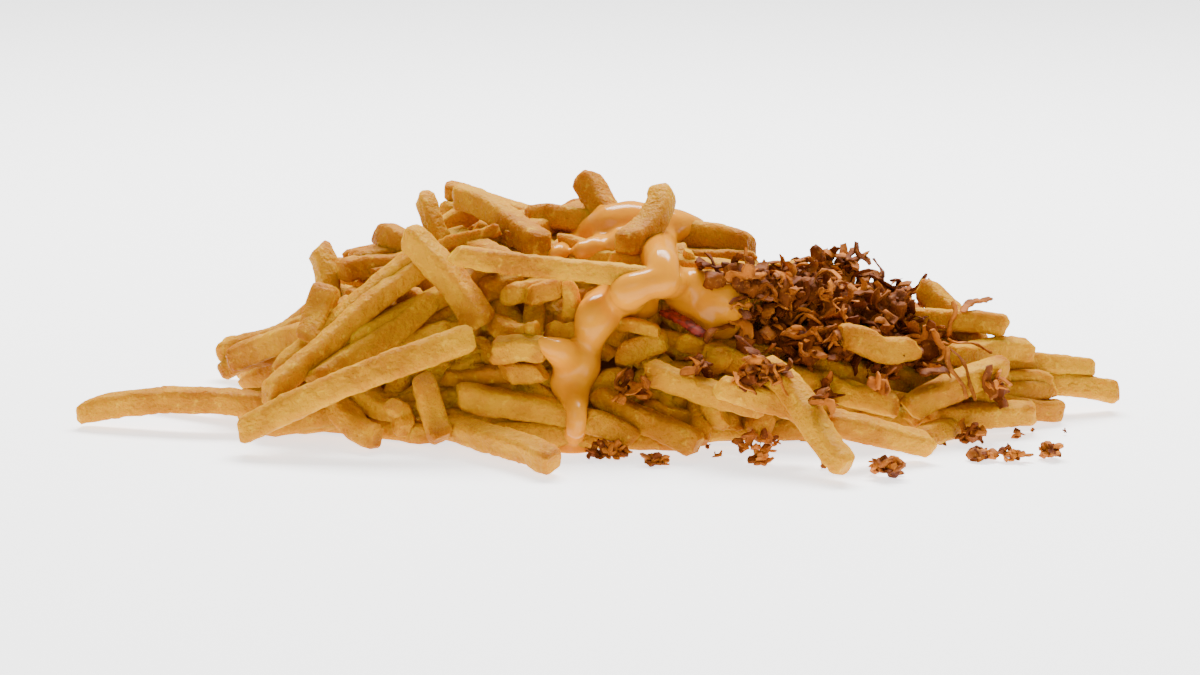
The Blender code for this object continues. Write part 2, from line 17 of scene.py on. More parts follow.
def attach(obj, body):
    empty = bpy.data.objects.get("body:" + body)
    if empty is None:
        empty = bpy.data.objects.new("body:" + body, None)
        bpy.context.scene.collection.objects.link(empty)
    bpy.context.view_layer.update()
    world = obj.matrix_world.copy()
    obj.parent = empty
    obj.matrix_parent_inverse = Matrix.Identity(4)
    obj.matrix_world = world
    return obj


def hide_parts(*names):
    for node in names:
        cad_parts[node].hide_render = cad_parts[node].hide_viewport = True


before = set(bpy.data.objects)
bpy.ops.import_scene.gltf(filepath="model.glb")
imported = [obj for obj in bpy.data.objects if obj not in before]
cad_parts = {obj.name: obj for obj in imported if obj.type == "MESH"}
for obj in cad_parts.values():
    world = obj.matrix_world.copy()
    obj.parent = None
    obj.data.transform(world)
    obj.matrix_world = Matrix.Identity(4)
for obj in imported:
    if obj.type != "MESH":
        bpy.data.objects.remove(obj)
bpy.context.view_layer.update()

# Fries
# Thin-cut potato fries, each a rounded square strand of potato with slanted ends. The front ones
# are laid from the rows below. The far side and the deeper layer fall at random.
METRE = 0.001
Strip = namedtuple("Strip", "x0 up0 x1 up1 thick bow near", defaults=(None,))
View = namedtuple("View", "right up towards aim aim_up distance")

EYE_DISTANCE = 950.0
EYE_ELEVATION = math.radians(12.0)
EYE_AIM_HEIGHT = 22.3
EYE_AIM_UP = 21.7
CORE_HALF_WIDTH = 114.0
CORE_FRONT_DEPTH = 41.0
CORE_BACK_DEPTH = 62.0
CORE_HEIGHT = 49.0
CORE_CENTRE_ACROSS = 3.0
BACK_LIMIT = 8.0
FRY_SINK = 0.8


def view_from(turn, elevation, aim_height, aim_up, distance):
    """An eye on the heap: a turn of 0 is from the front, and a half turn from behind."""
    across = np.array([math.cos(turn), math.sin(turn), 0.0])
    level = np.array([math.sin(turn), -math.cos(turn), 0.0])
    towards = level * math.cos(elevation) + np.array([0.0, 0.0, math.sin(elevation)])
    up = np.cross(towards, across)
    return View(across, up, towards, np.array([0.0, 0.0, aim_height]), aim_up, distance)


FRONT = view_from(0.0, EYE_ELEVATION, EYE_AIM_HEIGHT, EYE_AIM_UP, EYE_DISTANCE)
ABOVE = view_from(0.0, math.radians(90), 0.0, 0.0, 1e6)


def seen(view, points):
    """Points in space as columns (across, up, near) for that eye."""
    offset = points - view.aim
    near = offset @ view.towards
    shrink = 1 - near / view.distance
    across = offset @ view.right / shrink
    up = offset @ view.up / shrink + view.aim_up
    return np.stack([across, up, near], axis=1)


def placed(view, across, up, near):
    """The points that show at (across, up) and lie so much nearer than the aim."""
    shrink = 1 - near / view.distance
    sideways = np.outer(across * shrink, view.right)
    upwards = np.outer((up - view.aim_up) * shrink, view.up)
    return view.aim + sideways + upwards + np.outer(near, view.towards)


def core_height(across, depth):
    half_depth = CORE_FRONT_DEPTH if depth < 0 else CORE_BACK_DEPTH
    share = math.hypot((across - CORE_CENTRE_ACROSS) / CORE_HALF_WIDTH, depth / half_depth)
    return CORE_HEIGHT * max(0.0, 1 - share**2)


class Pile:
    """What has been laid so far, as balls strung along each piece."""

    def __init__(self, sunk):
        columns = np.arange(-CORE_HALF_WIDTH, CORE_HALF_WIDTH, 3.0) + CORE_CENTRE_ACROSS
        rows = np.arange(-CORE_FRONT_DEPTH, CORE_BACK_DEPTH, 3.0)
        heights = [(x, y, core_height(x, y)) for x in columns for y in rows]
        self.centres = np.array([point for point in heights if point[2] > 3.0])
        self.centres[:, 2] -= sunk
        self.radii = np.full(len(self.centres), 3.0)

    def add(self, centres, radii):
        self.centres = np.vstack([self.centres, centres])
        self.radii = np.concatenate([self.radii, np.broadcast_to(radii, len(centres))])


def floor_near(view, up, radius):
    """How near a ball that shows at that height must be, to stay out of the table."""
    rise = up - view.aim_up
    lift = view.up[2]
    return (radius - view.aim[2] - rise * lift) / (view.towards[2] - rise * lift / view.distance)


def rest(pile, view, across, up, radii, sink):
    """How near each ball must be, to touch what lies behind it along the line of sight."""
    there = seen(view, pile.centres)
    needed = floor_near(view, up, radii)
    if view is FRONT:
        limit = np.array([[0.0, BACK_LIMIT, EYE_AIM_HEIGHT]])
        needed = np.maximum(needed, seen(view, limit)[0, 2])
    for k in range(len(across)):
        reach = sink * (radii[k] + pile.radii)
        aside = np.hypot(there[:, 0] - across[k], there[:, 1] - up[k])
        under = aside < reach
        if under.any():
            touch = there[under, 2] + np.sqrt(reach[under] ** 2 - aside[under] ** 2)
            needed[k] = max(needed[k], touch.max())
    return needed


def lay(pile, view, strip, sink=FRY_SINK, steepest=1.6, samples=14):
    """Brings a stiff strip down along the line of sight and returns its centre line."""
    share = np.linspace(0, 1, samples)
    run = np.array([strip.x1 - strip.x0, strip.up1 - strip.up0])
    length = np.hypot(*run)
    bow = 4 * share * (1 - share) * strip.bow
    across = strip.x0 + run[0] * share - bow * run[1] / length
    up = strip.up0 + run[1] * share + bow * abs(run[0]) / length
    if strip.near is not None:
        near = strip.near[0] + (strip.near[1] - strip.near[0]) * share
        return placed(view, across, up, near)
    needed = rest(pile, view, across, up, np.full(samples, strip.thick / 2), sink)
    slopes = np.linspace(-steepest, steepest, 41)
    middle = (share - 0.5) * length
    heights = np.array([(needed - slope * middle).max() for slope in slopes])
    best = int(np.argmin(heights + 2.5 * np.abs(slopes)))
    return placed(view, across, up, heights[best] + slopes[best] * middle)


# Fries of the front, from the back of the heap to the front: each row is where the left and
# right ends show (across, up), the thickness, how far the middle bows up, and for the few that
# stand free above the ridge how near their two ends are.
LAYOUT = [
    # Standing free behind the ridge
    Strip(-20.5, 55.3, 1.0, 54.8, 8.2, 0.3, (-2, -2)),
    Strip(-4.4, 66.5, 6.0, 49.0, 8.8, 0.0, (-5, 2)),
    Strip(14.0, 49.6, 42.5, 46.8, 9.4, 0.3, (-1, -1)),
    Strip(22.0, 44.6, 42.5, 42.8, 6.6, 0.0, (2, 2)),
    Strip(40.0, 38.5, 58.0, 40.8, 5.6, 0.0, (2, 0)),
    Strip(-49.2, 61.3, -38.5, 42.0, 6.6, -0.8, (-4, 2)),
    Strip(-60.5, 51.0, -44.0, 38.0, 8.8, 0.0, (-5, 2)),
    Strip(-69.5, 43.0, -52.0, 46.5, 6.6, 0.0, (0, 0)),
    Strip(-79.0, 47.0, -73.0, 26.0, 7.6, 0.0, (-3, 3)),
    Strip(91.0, 35.3, 106.0, 20.0, 8.0, 0.5, (-4, 4)),
    # Upper left
    Strip(-27.5, 47.5, -12.0, 43.5, 7.5, 0.0),
    Strip(-31.0, 48.5, -29.0, 43.0, 4.2, 0.0),
    Strip(-40.5, 61.5, -16.0, 47.3, 8.8, 0.0),
    Strip(-71.0, 33.5, -51.0, 32.0, 8.0, 0.0),
    Strip(-72.5, 40.2, -51.0, 43.0, 8.0, -0.8),
    Strip(-73.0, 26.0, -57.0, 29.5, 6.2, 0.0),
    # Left flank
    Strip(-106.0, 18.0, -70.0, 30.5, 7.0, 0.4),
    Strip(-105.5, 12.0, -82.0, 17.5, 6.6, 0.5),
    Strip(-102.8, 15.8, -72.0, 23.0, 8.3, 0.5),
    Strip(-91.0, 12.3, -70.0, 16.0, 5.6, 0.0),
    Strip(-82.0, 20.0, -76.0, 36.0, 9.0, 0.5),
    Strip(-122.0, 5.6, -82.0, 6.6, 6.6, 0.0),
    Strip(-145.3, 0.8, -92.0, 2.6, 8.0, 1.2),
    Strip(-46.0, 46.2, -28.0, 52.0, 4.4, 0.0),
    Strip(-93.5, 5.5, -49.0, 42.0, 7.4, 0.0),
    # Middle
    Strip(-33.5, 34.5, -21.0, 37.7, 7.2, 0.0),
    Strip(-26.5, 33.5, -14.0, 35.5, 7.2, 0.0),
    Strip(-20.3, 33.3, -11.0, 36.0, 7.0, 0.0),
    Strip(-9.3, 36.0, -8.3, 25.0, 5.0, 0.0),
    Strip(-5.0, 43.3, 9.0, 42.5, 6.2, 0.0),
    Strip(-15.0, 23.8, -4.0, 24.0, 6.5, 0.0),
    Strip(-29.0, 26.3, -17.5, 23.8, 7.0, 0.5),
    Strip(-44.0, 11.0, -24.0, 12.0, 5.6, 0.0),
    Strip(-40.0, 5.5, -6.0, -0.7, 9.0, 0.3),
    Strip(-27.0, 12.0, -16.0, 12.3, 7.2, 0.0),
    Strip(-30.3, 18.0, -15.0, 17.5, 8.2, 0.0),
    Strip(-57.3, 21.2, -42.0, 24.2, 6.0, 0.3),
    Strip(-80.0, 9.0, -47.5, 32.3, 8.4, 0.3),
    Strip(-53.7, 50.5, -33.0, 25.0, 9.5, 0.8),
    Strip(-41.0, 45.0, 15.0, 38.5, 7.4, -2.0),
    # Front of the left half
    Strip(-70.0, 7.0, -54.0, 1.0, 7.2, 0.0),
    Strip(-74.5, 3.3, -62.3, -6.3, 8.4, 0.0),
    Strip(-58.0, 3.0, -54.8, -4.5, 7.2, 0.0),
    Strip(-43.0, -2.5, -12.8, -13.5, 8.5, 2.0),
    Strip(-50.0, 10.0, -44.3, -6.8, 8.2, -0.6),
    Strip(-101.0, -5.0, -35.8, 21.8, 9.5, 0.8),
    # Middle right, round the sauce
    Strip(21.6, 46.0, 23.4, 39.0, 6.2, 0.0),
    Strip(24.8, 46.0, 28.4, 37.5, 3.8, 0.0),
    Strip(28.5, 38.3, 42.0, 37.3, 5.8, 0.3),
    Strip(37.0, 31.3, 56.0, 30.8, 7.2, 0.0),
    Strip(17.3, 62.5, 7.0, 48.0, 8.8, 0.0, (-2, 6)),
    Strip(23.0, 21.0, 31.0, 18.5, 7.0, 0.0),
    Strip(28.0, 16.5, 35.0, 17.0, 7.4, 0.0),
    Strip(6.0, 18.0, 18.7, 20.5, 8.2, 0.0),
    Strip(1.5, 25.5, 16.5, 23.3, 4.4, 0.5),
    Strip(-5.0, -1.5, 9.5, -7.0, 8.4, 0.0),
    Strip(12.5, 3.0, 40.0, -2.0, 6.2, 0.0),
    Strip(29.5, 3.6, 35.5, -0.8, 6.8, 0.0),
    Strip(43.0, 0.0, 47.3, -5.3, 8.2, 0.0),
    Strip(-0.5, 6.3, 27.5, -8.8, 8.2, 0.5),
    Strip(13.5, 12.5, 46.0, 2.5, 8.2, 0.0),
    Strip(33.0, 8.0, 61.0, -2.3, 8.0, 0.0),
    # Right flank
    Strip(58.0, 15.7, 78.0, 12.0, 7.6, 0.0),
    Strip(98.0, 17.5, 137.8, 13.1, 6.7, 0.0),
    Strip(104.0, 10.3, 144.7, 6.3, 8.0, 0.0),
    Strip(86.0, 27.2, 113.7, 24.6, 7.6, 0.3),
    Strip(98.0, 17.0, 120.5, 17.8, 7.2, 0.0),
    Strip(104.0, 9.7, 126.5, 8.6, 7.2, 0.0),
    Strip(104.0, 4.5, 129.5, 1.6, 7.2, 0.0),
    Strip(95.0, 9.0, 112.0, 6.0, 7.6, 0.0),
    Strip(86.0, -2.0, 99.0, 0.2, 6.2, 0.0),
    Strip(94.0, -0.4, 122.0, 0.6, 8.0, -0.2),
    Strip(86.0, 1.3, 113.5, 13.0, 8.6, 1.8),
    Strip(62.0, 10.0, 82.3, 2.3, 7.9, 0.0),
    Strip(64.0, -1.8, 92.0, -8.6, 8.1, 0.3),
    Strip(67.5, 22.3, 87.0, 19.2, 8.7, 0.0),
    Strip(45.0, 14.2, 69.0, -14.7, 8.8, 1.3),
]


class Wire:
    """A socket of a node tree that can be added, multiplied and compared."""

    def __init__(self, tree, socket=None):
        self.tree, self.socket = tree, socket

    def node(self, kind, given=None, out=0, **settings):
        """Makes a node, sets its properties and plugs values or wires into its inputs."""
        made = self.tree.nodes.new(kind)
        for name, value in settings.items():
            setattr(made, name, value)
        for name, value in (given or {}).items():
            self.plug(made.inputs[name], value)
        return Wire(self.tree, made.outputs[out])

    def plug(self, socket, value):
        if isinstance(value, Wire):
            self.tree.links.new(value.socket, socket)
        else:
            socket.default_value = value

    def maths(self, operation, *values):
        return self.node("ShaderNodeMath", dict(enumerate(values)), operation=operation)

    def vector(self, operation, *values):
        out = "Value" if operation in ("LENGTH", "DOT_PRODUCT") else "Vector"
        given = dict(enumerate(values))
        if operation == "SCALE":
            given = {0: values[0], 3: values[1]}
        return self.node("ShaderNodeVectorMath", given, out=out, operation=operation)

    def __add__(self, other):
        return self.maths("ADD", self, other)

    def __radd__(self, other):
        return self.maths("ADD", other, self)

    def __sub__(self, other):
        return self.maths("SUBTRACT", self, other)

    def __rsub__(self, other):
        return self.maths("SUBTRACT", other, self)

    def __mul__(self, other):
        return self.maths("MULTIPLY", self, other)

    def __rmul__(self, other):
        return self.maths("MULTIPLY", other, self)

    def __truediv__(self, other):
        return self.maths("DIVIDE", self, other)

    def __pow__(self, other):
        return self.maths("POWER", self, other)

    def min(self, other):
        return self.maths("MINIMUM", self, other)

    def step(self, low, high):
        """0 below low, 1 above high and smooth between them."""
        given = {"Value": self, "From Min": low, "From Max": high}
        return self.node("ShaderNodeMapRange", given, interpolation_type="SMOOTHSTEP")

    def noise(self, scale, detail=2.0, rough=0.5, where=None):
        given = {"Scale": scale, "Detail": detail, "Roughness": rough}
        if where is not None:
            given["Vector"] = where
        return self.node("ShaderNodeTexNoise", given)

    def mix(self, share, first, second):
        given = {0: share, 6: first, 7: second}
        return self.node("ShaderNodeMix", given, out=2, data_type="RGBA")


def colour(red, green, blue):
    """A linear colour from what an eye would name in 0 to 255."""
    return tuple(((value / 255 + 0.055) / 1.055) ** 2.4 for value in (red, green, blue)) + (1.0,)


def new_material(name):
    """A Principled material, its tree as a Wire and its shader node."""
    made = bpy.data.materials.new(name)
    made.use_nodes = True
    return made, Wire(made.node_tree), made.node_tree.nodes["Principled BSDF"]


def bump(wire, shader, height, strength, distance):
    given = {"Height": height, "Strength": strength, "Distance": distance}
    wire.plug(shader.inputs["Normal"], wire.node("ShaderNodeBump", given))


def object_of(name, mesh):
    data = bpy.data.meshes.new(name)
    bmesh.ops.recalc_face_normals(mesh, faces=mesh.faces)
    mesh.to_mesh(data)
    mesh.free()
    made = bpy.data.objects.new(name, data)
    bpy.context.scene.collection.objects.link(made)
    return made


def strand_tree():
    """Geometry Nodes that turn centre lines into solid strands: fries, shreds and crumbs."""
    tree = bpy.data.node_groups.new("strand", "GeometryNodeTree")
    face = tree.interface
    face.new_socket("Geometry", in_out="INPUT", socket_type="NodeSocketGeometry")
    for name in ("Ring spacing", "Flatness", "Corner", "Relief", "Relief scale", "End softness"):
        face.new_socket(name, in_out="INPUT", socket_type="NodeSocketFloat")
    face.new_socket("Sides", in_out="INPUT", socket_type="NodeSocketInt")
    face.new_socket("Material", in_out="INPUT", socket_type="NodeSocketMaterial")
    face.new_socket("Geometry", in_out="OUTPUT", socket_type="NodeSocketGeometry")
    group_in = tree.nodes.new("NodeGroupInput")
    wire = Wire(tree)
    given = {socket.name: Wire(tree, socket) for socket in group_in.outputs if socket.name}

    def attribute(name, kind="FLOAT"):
        return wire.node("GeometryNodeInputNamedAttribute", {"Name": name}, data_type=kind)

    def store(geometry, name, value, kind="FLOAT"):
        inputs = {"Geometry": geometry, "Name": name, "Value": value}
        return wire.node("GeometryNodeStoreNamedAttribute", inputs, data_type=kind)

    curve = wire.node("GeometryNodeMeshToCurve", {"Mesh": given["Geometry"]})
    curve = wire.node(
        "GeometryNodeResampleCurve", {"Curve": curve, "Length": given["Ring spacing"]}, mode="LENGTH"
    )
    along = wire.node("GeometryNodeSplineParameter", out="Length")
    total = wire.node("GeometryNodeSplineLength")
    end = along.min(total - along)
    place = wire.node("GeometryNodeInputPosition")
    curve = store(curve, "end", end)
    curve = store(curve, "centre", place, "FLOAT_VECTOR")
    curve = store(curve, "heading", wire.node("GeometryNodeInputTangent"), "FLOAT_VECTOR")
    half = attribute("thick") * 0.5
    rounded = 1 - 0.3 * (1 - (end / (half * given["End softness"])).min(1.0)) ** 2.2
    swell = 0.84 + 0.32 * wire.noise(52.0, 3.0)
    curve = wire.node("GeometryNodeSetCurveTilt", {"Curve": curve, "Tilt": attribute("turn")})
    profile = wire.node(
        "GeometryNodeCurvePrimitiveQuadrilateral", {"Width": 1.66, "Height": 1.66 * given["Flatness"]}
    )
    profile = wire.node(
        "GeometryNodeFilletCurve",
        {"Curve": profile, "Radius": given["Corner"], "Count": 3, "Limit Radius": True},
        mode="POLY",
    )
    profile = wire.node("GeometryNodeResampleCurve", {"Curve": profile, "Count": given["Sides"]})
    size = half * rounded * swell
    tube = {"Curve": curve, "Profile Curve": profile, "Scale": size, "Fill Caps": True}
    mesh = wire.node("GeometryNodeCurveToMesh", tube)
    offset = wire.vector("SUBTRACT", place, attribute("centre", "FLOAT_VECTOR"))
    mesh = store(mesh, "edge", wire.vector("LENGTH", offset) / half)
    lean = wire.vector("DOT_PRODUCT", offset, attribute("lean", "FLOAT_VECTOR"))
    fade = 1 - (attribute("end") / (half * 1.6)).min(1.0)
    heading = attribute("heading", "FLOAT_VECTOR")
    shift = wire.vector("SCALE", heading, lean * fade)
    mesh = wire.node("GeometryNodeSetPosition", {"Geometry": mesh, "Offset": shift})
    grain = wire.noise(given["Relief scale"], 3.0, 0.55) - 0.5
    normal = wire.node("GeometryNodeInputNormal")
    shift = wire.vector("SCALE", normal, grain * given["Relief"] * 2.0)
    mesh = wire.node("GeometryNodeSetPosition", {"Geometry": mesh, "Offset": shift})
    mesh = wire.node("GeometryNodeRealizeInstances", {"Geometry": mesh})
    mesh = wire.node(
        "GeometryNodeSetMaterial", {"Geometry": mesh, "Material": given["Material"]}
    )
    group_out = tree.nodes.new("NodeGroupOutput")
    tree.links.new(mesh.socket, group_out.inputs[0])
    return tree


STRAND_TREE = strand_tree()
Strand = namedtuple("Strand", "line thick tone turn lean0 lean1")


def strand_of(line, thick, draw, lean=0.5):
    """A centre line with a seeded tone, turn and slant of its two cut ends."""
    leans = [np.array([draw.uniform(-lean, lean) for _ in range(3)]) for _ in range(2)]
    return Strand(line, thick, draw.random(), draw.uniform(-0.3, 0.3), *leans)


def build_strands(name, strands, material, inputs):
    """Turns the strands into one plain mesh with the strand tree, whose inputs are named."""
    mesh = bpy.data.meshes.new(name)
    points = np.vstack([strand.line for strand in strands]) * METRE
    edges, rows = [], []
    for strand in strands:
        first = len(rows)
        for k in range(len(strand.line)):
            share = k / (len(strand.line) - 1)
            lean = strand.lean0 * (1 - share) + strand.lean1 * share
            rows.append((strand.thick * METRE, strand.tone, strand.turn, *lean))
        edges += [(k, k + 1) for k in range(first, len(rows) - 1)]
    mesh.from_pydata(points.tolist(), edges, [])
    table = np.array(rows, np.float32)
    for column, key in enumerate(("thick", "tone", "turn")):
        mesh.attributes.new(key, "FLOAT", "POINT").data.foreach_set("value", table[:, column])
    lean = mesh.attributes.new("lean", "FLOAT_VECTOR", "POINT")
    lean.data.foreach_set("vector", table[:, 3:6].ravel())
    thing = bpy.data.objects.new(name, mesh)
    bpy.context.scene.collection.objects.link(thing)
    grow = thing.modifiers.new("strand", "NODES")
    grow.node_group = STRAND_TREE
    given = {**inputs, "Material": material}
    for socket in STRAND_TREE.interface.items_tree:
        if socket.name in given:
            grow[socket.identifier] = given[socket.name]
    baked(thing)
    thing.data.shade_smooth()
    return thing


def baked(thing):
    """Puts the evaluated mesh in place of the object's own and takes the modifiers off."""
    bpy.context.view_layer.update()
    graph = bpy.context.evaluated_depsgraph_get()
    mesh = bpy.data.meshes.new_from_object(thing.evaluated_get(graph))
    thing.modifiers.clear()
    thing.data = mesh
    return thing


def potato():
    """Golden fried potato: browner along its edges and ends, paler on its flats, and grainy."""
    material, wire, shader = new_material("potato")
    tone = wire.node("ShaderNodeAttribute", out="Fac", attribute_name="tone")
    edge = wire.node("ShaderNodeAttribute", out="Fac", attribute_name="edge")
    tip = wire.node("ShaderNodeAttribute", out="Fac", attribute_name="end")
    where = wire.node("ShaderNodeTexCoord", out="Object")
    broad = wire.noise(55.0, 3.0, 0.6, where)
    fine = wire.noise(420.0, 4.0, 0.6, where)
    pits = wire.noise(900.0, 2.0, 0.5, where)
    pale = wire.mix(tone, colour(208, 151, 0), colour(194, 131, 0))
    base = wire.mix(broad.step(0.40, 0.66), pale, colour(174, 109, 0))
    browned = edge.step(0.96, 1.16) * fine.step(0.36, 0.6) * 0.75
    base = wire.mix(browned, base, colour(142, 80, 0))
    burnt = (1 - tip.step(0.0, 0.004)) * broad.step(0.45, 0.6) * 0.55
    base = wire.mix(burnt, base, colour(150, 84, 0))
    base = wire.mix(fine.step(0.56, 0.72) * 0.5, base, colour(228, 182, 40))
    base = wire.mix(pits.step(0.6, 0.74) * 0.35, base, colour(160, 94, 0))
    wire.plug(shader.inputs["Base Color"], base)
    wire.plug(shader.inputs["Roughness"], 0.42 + 0.25 * fine)
    shader.inputs["Subsurface Weight"].default_value = 0.4
    shader.inputs["Subsurface Radius"].default_value = (1.0, 0.5, 0.06)
    shader.inputs["Subsurface Scale"].default_value = 0.005
    shader.inputs["Specular IOR Level"].default_value = 0.1
    bump(wire, shader, fine * 0.6 + pits * 0.4, 0.9, 0.0016)
    return material


# These two rows are laid last, because one stands before the sauce and one lies over the onions.
FRY_OVER_SAUCE = next(strip for strip in LAYOUT if strip.x0 == 17.3)
FRY_OVER_ONIONS = next(strip for strip in LAYOUT if strip.x0 == 67.5)
FRY_BOW = 0.9
FRY_CROOK = 0.35
HEAP_REACH = 118
HEAP_DEPTH = 72
FAR_SIDE_DEPTH = 84
FAR_SIDE_FRIES = 34
FAR_SIDE_TRIES = 400
FRY_CUT = {
    "Flatness": 1.0,
    "Corner": 0.36,
    "Relief": 0.0008,
    "Relief scale": 330.0,
    "End softness": 0.45,
}


def lay_front(pile):
    fries = []
    for strip in LAYOUT:
        if strip in (FRY_OVER_SAUCE, FRY_OVER_ONIONS):
            continue
        line = lay(pile, FRONT, strip)
        thick = strip.thick * (1 - seen(FRONT, line)[:, 2].mean() / EYE_DISTANCE)
        pile.add(line, thick / 2)
        fries.append((line, thick))
    return fries


def stands_out(cover, shown, thick):
    """Whether a piece would stand before what the front shows there, or beside all of it."""
    skyline = seen(FRONT, cover.centres)
    for across, up, near in shown:
        away = skyline[:, :2] - (across, up)
        aside = np.hypot(*away.T)
        over = skyline[aside < cover.radii + 0.3 * thick, 2]
        if len(over) > 0 and near > over.max() - 0.5:
            return True
        around = aside < 9.0
        if len(set(map(tuple, away[around] > 0))) < 4:
            return True
        if len(over) == 0 and near > skyline[around, 2].max() - 2.0:
            return True
    return False


def lay_back(pile, draw, count, tries, nearest=6.0, cover=None):
    """Lets fries fall at random from above, none of them showing over or before the front."""
    far_side = cover is None
    skyline = seen(FRONT, pile.centres if far_side else cover.centres)
    tops = skyline[:, 1] + (pile.radii if far_side else cover.radii)
    fries = []
    for _ in range(tries):
        if len(fries) == count:
            break
        across = draw.uniform(-104, 108)
        reach = math.sqrt(max(0.05, 1 - (across / HEAP_REACH) ** 2))
        depth = nearest + draw.uniform(0, HEAP_DEPTH - nearest) * reach
        angle = draw.gauss(0, 0.9)
        thick = draw.uniform(7.0, 8.6)
        half = draw.uniform(42.0, 70.0) / 2
        spread = half * math.cos(angle), half * math.sin(angle)
        strip = Strip(
            across - spread[0], depth - spread[1], across + spread[0], depth + spread[1], thick, 0.0
        )
        ends = strip.up0, strip.up1
        if far_side and (min(ends) < 2 or max(ends) > FAR_SIDE_DEPTH * reach):
            continue
        line = lay(pile, ABOVE, strip, steepest=0.75)
        shown = seen(FRONT, line)
        covers = [tops[np.abs(skyline[:, 0] - x) < 5].max(initial=0) for x in shown[:, 0]]
        if (shown[:, 1] + thick / 2 > np.array(covers) + 1.0).any():
            continue
        under_table = line[:, 2].min() < thick / 2 - 0.5
        if not far_side and (under_table or stands_out(cover, shown, thick)):
            continue
        pile.add(line, thick / 2)
        fries.append((line, thick))
    return fries


def lay_under(core, cover, draw, tries):
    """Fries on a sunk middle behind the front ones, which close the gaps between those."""
    fries = []
    for _ in range(tries):
        across, up = draw.uniform(-100, 112), draw.uniform(-6, 48)
        angle, half = draw.gauss(0, 0.6), draw.uniform(13, 22)
        thick = draw.uniform(7.0, 8.2)
        spread = half * math.cos(angle), half * math.sin(angle)
        strip = Strip(
            across - spread[0], up - spread[1], across + spread[0], up + spread[1], thick, 0.0
        )
        line = lay(core, FRONT, strip, steepest=0.8)
        if not stands_out(cover, seen(FRONT, line), thick):
            fries.append((line, thick))
    return fries


def bent(line, draw):
    """A cut fry's centre line, a little bowed and crooked."""
    share = np.linspace(0, 1, len(line))[:, None]
    aside = np.array([[draw.gauss(0, 1) for _ in range(3)] for _ in range(2)])
    wave = np.hstack([np.sin(math.pi * share), np.sin(math.tau * share)])
    return line + wave @ (aside * [[FRY_BOW], [FRY_CROOK]])


pile = Pile(4.4)
front_fries = lay_front(pile)
back_fries = lay_back(pile, random.Random(11), FAR_SIDE_FRIES, FAR_SIDE_TRIES)

potato_skin = potato()
draw = random.Random(21)
strands = [strand_of(bent(line, draw), thick, draw) for line, thick in front_fries]
front_cut = {**FRY_CUT, "Sides": 24, "Ring spacing": 0.0011}
front_object = build_strands("front_fries", strands, potato_skin, front_cut)
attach(front_object, "root")
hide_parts("fries")

back_strands = [strand_of(line, thick, draw) for line, thick in back_fries]
back_cut = {**FRY_CUT, "Sides": 20, "Ring spacing": 0.0016}
back_object = build_strands("back_fries", back_strands, potato_skin, back_cut)
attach(back_object, "root")
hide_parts("fries")

# Fries deeper in the heap close the gaps between the ones on show.
deep_fries = lay_back(
    Pile(11.0), random.Random(5), count=150, tries=2500, nearest=-46.0, cover=pile
)
deep_fries += lay_under(Pile(12.0), pile, random.Random(6), tries=260)
deep_fries += lay_back(Pile(10.0), random.Random(12), count=70, tries=1200, nearest=12.0)
deep_strands = [strand_of(line, thick * 0.95, draw) for line, thick in deep_fries]
deep_cut = {**FRY_CUT, "Sides": 14, "Ring spacing": 0.003}
deep_object = build_strands("deep_fries", deep_strands, potato_skin, deep_cut)
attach(deep_object, "root")
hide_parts("fries")

# Packed middle
# Potato deep in the heap, where single fries can't be told apart: a smaller mound with a flat
# base, which shows only in the gaps; its darker amber is painted shade for the fries in shade there.
CORE_DROP = 13.5
CORE_SHRINK = 0.84
CORE_BACK_SHRINK = 0.55
CORE_BASE = 0.4


def make_core():
    """A half ball stretched over the heap's plan, with its heights by the core's rule."""
    half_depths = CORE_FRONT_DEPTH * CORE_SHRINK, CORE_BACK_DEPTH * CORE_BACK_SHRINK
    mesh = bmesh.new()
    bmesh.ops.create_uvsphere(mesh, u_segments=48, v_segments=24, radius=1.0)
    for vertex in mesh.verts:
        x = CORE_CENTRE_ACROSS + CORE_HALF_WIDTH * CORE_SHRINK * vertex.co.x
        y = vertex.co.y * half_depths[vertex.co.y >= 0]
        height = CORE_HEIGHT * (1 - (CORE_SHRINK * vertex.co.xy.length) ** 2) - CORE_DROP
        z = max(CORE_BASE, height) if vertex.co.z > 0 else CORE_BASE
        vertex.co = Vector((x, y, z)) * METRE
    bmesh.ops.remove_doubles(mesh, verts=mesh.verts, dist=0.00005)
    return object_of("heap_core", mesh)


core_object = make_core()
core_painted_shade, core_wire, core_shader = new_material("deep_potato_painted_shade")
# Painted shade: a darker amber than the fries, so the core reads as fries in shade in the gaps.
core_shader.inputs["Base Color"].default_value = colour(184, 114, 0)
core_shader.inputs["Roughness"].default_value = 0.7
core_object.data.materials.append(core_painted_shade)
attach(core_object, "root")
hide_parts("fries")


# Cheese sauce
# Warm sauce run over the fries: balls strung along each flow, joined into one smooth body that
# lies on what is under it, glossy and a little see-through.

